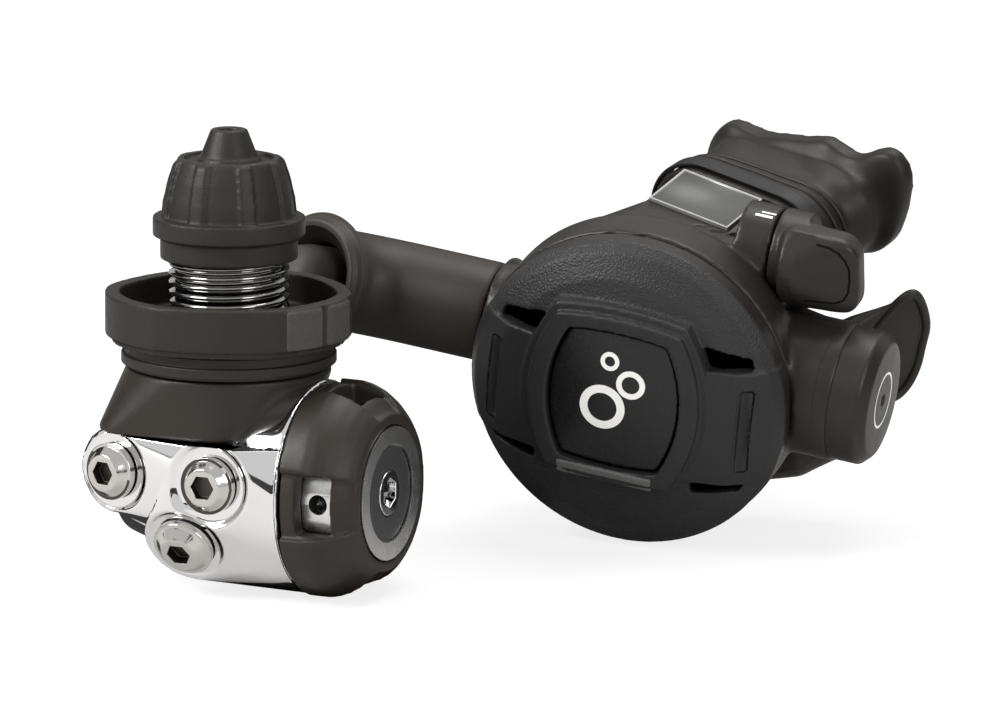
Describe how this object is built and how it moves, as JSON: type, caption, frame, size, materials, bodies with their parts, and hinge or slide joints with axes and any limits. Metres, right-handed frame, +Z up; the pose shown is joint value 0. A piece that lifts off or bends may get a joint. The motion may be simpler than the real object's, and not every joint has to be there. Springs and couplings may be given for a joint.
{
  "type": "scuba regulator set",
  "caption": "Scuba regulator set with a chrome first stage, threaded tank connector under a dust cap, short hose and a second stage with purge button, dive lever and mouthpiece.",
  "frame": {"origin": "on the surface that the set rests on, under the tank connector's axis", "axes": "+Z up along the tank connector's axis, +X along the first stage's barrel towards its spring cap, +Y towards the back"},
  "size_m": [0.1284, 0.1528, 0.087],
  "materials": {
    "chrome": "polished",
    "dark_plate": "satin",
    "rubber": "matt",
    "shell": "grained",
    "plate": "satin",
    "seal": "matt",
    "bronze": "satin",
    "steel": "satin",
    "vane": "satin"
  },
  "bodies": {
    "set": {"first_stage_body": "chrome", "top_shroud": "rubber", "swivel_collar": "shell", "din_stem": "chrome", "inlet_filter": "bronze", "din_seal": "seal", "bumper": "rubber", "spring_cap": "chrome", "end_plate": "dark_plate", "adjuster": "chrome", "main_spring": "steel", "valve_seat": "bronze", "high_spring": "steel", "lp_plugs": "chrome", "high_plugs": "chrome", "plug_seals": "seal", "hose_fitting": "chrome", "hose": "rubber", "hose_sleeve": "rubber", "inlet_nut": "chrome", "housing": "shell", "front_cover": "shell", "purge_spring": "steel", "demand_diaphragm": "seal", "valve_tube": "steel", "poppet_spring": "steel", "valve_orifice": "bronze", "spring_plug": "bronze", "end_cap": "shell", "name_plate": "plate", "mouthpiece": "rubber", "mouthpiece_clamp": "shell", "exhaust_tee": "rubber", "exhaust_valve": "seal"},
    "connector": {"handwheel": "shell", "din_thread": "chrome"},
    "cap": {"dust_cap": "rubber"},
    "pressure_valve": {"diaphragm": "seal", "spring_pad": "bronze", "push_pin": "steel", "high_poppet": "steel"},
    "purge": {"purge_button": "shell"},
    "plate": {"diaphragm_plate": "steel"},
    "lever": {"demand_lever": "steel"},
    "air_valve": {"poppet": "steel"},
    "dive": {"dive_lever": "shell", "venturi_vane": "vane"}
  },
  "joints": [
    {"name": "connector_turn", "type": "hinge", "parent": "set", "child": "connector", "pos_m": [0, 0, 0.0468], "axis": [0, 0, 1], "continuous": true},
    {"name": "cap_lift", "type": "slide", "parent": "connector", "child": "cap", "axis": [0, 0, 1], "range_m": [0, 0.08]},
    {"name": "pressure_valve_slide", "type": "slide", "parent": "set", "child": "pressure_valve", "axis": [-1, 0, 0], "range_m": [0, 0.0005], "stiffness_N_per_m": 4000, "deforming": ["main_spring", "high_spring"]},
    {"name": "purge_press", "type": "slide", "parent": "set", "child": "purge", "axis": [-0.0747, 0.9717, 0.2243], "range_m": [0, 0.003], "stiffness_N_per_m": 600, "deforming": ["purge_spring"]},
    {"name": "plate_press", "type": "slide", "parent": "set", "child": "plate", "axis": [-0.0747, 0.9717, 0.2243], "range_m": [0, 0.003]},
    {"name": "lever_turn", "type": "hinge", "parent": "set", "child": "lever", "pos_m": [0.06649, 0.0684, 0.0344], "axis": [-0.1701, 0.2092, -0.963], "range_deg": [0, 12.5]},
    {"name": "air_valve_slide", "type": "slide", "parent": "set", "child": "air_valve", "axis": [0.9826, 0.11, -0.1497], "range_m": [0, 0.0006], "deforming": ["poppet_spring"]},
    {"name": "dive_turn", "type": "hinge", "parent": "set", "child": "dive", "pos_m": [0.08096, 0.07615, 0.05824], "axis": [-0.9826, -0.11, 0.1497], "range_deg": [0, 50]}
  ],
  "couplings": [
    {"joint": "plate_press", "follows": "purge_press", "ratio": 1},
    {"joint": "lever_turn", "follows": "purge_press", "rad_per_m": 69.813},
    {"joint": "air_valve_slide", "follows": "purge_press", "ratio": 0.2}
  ]
}
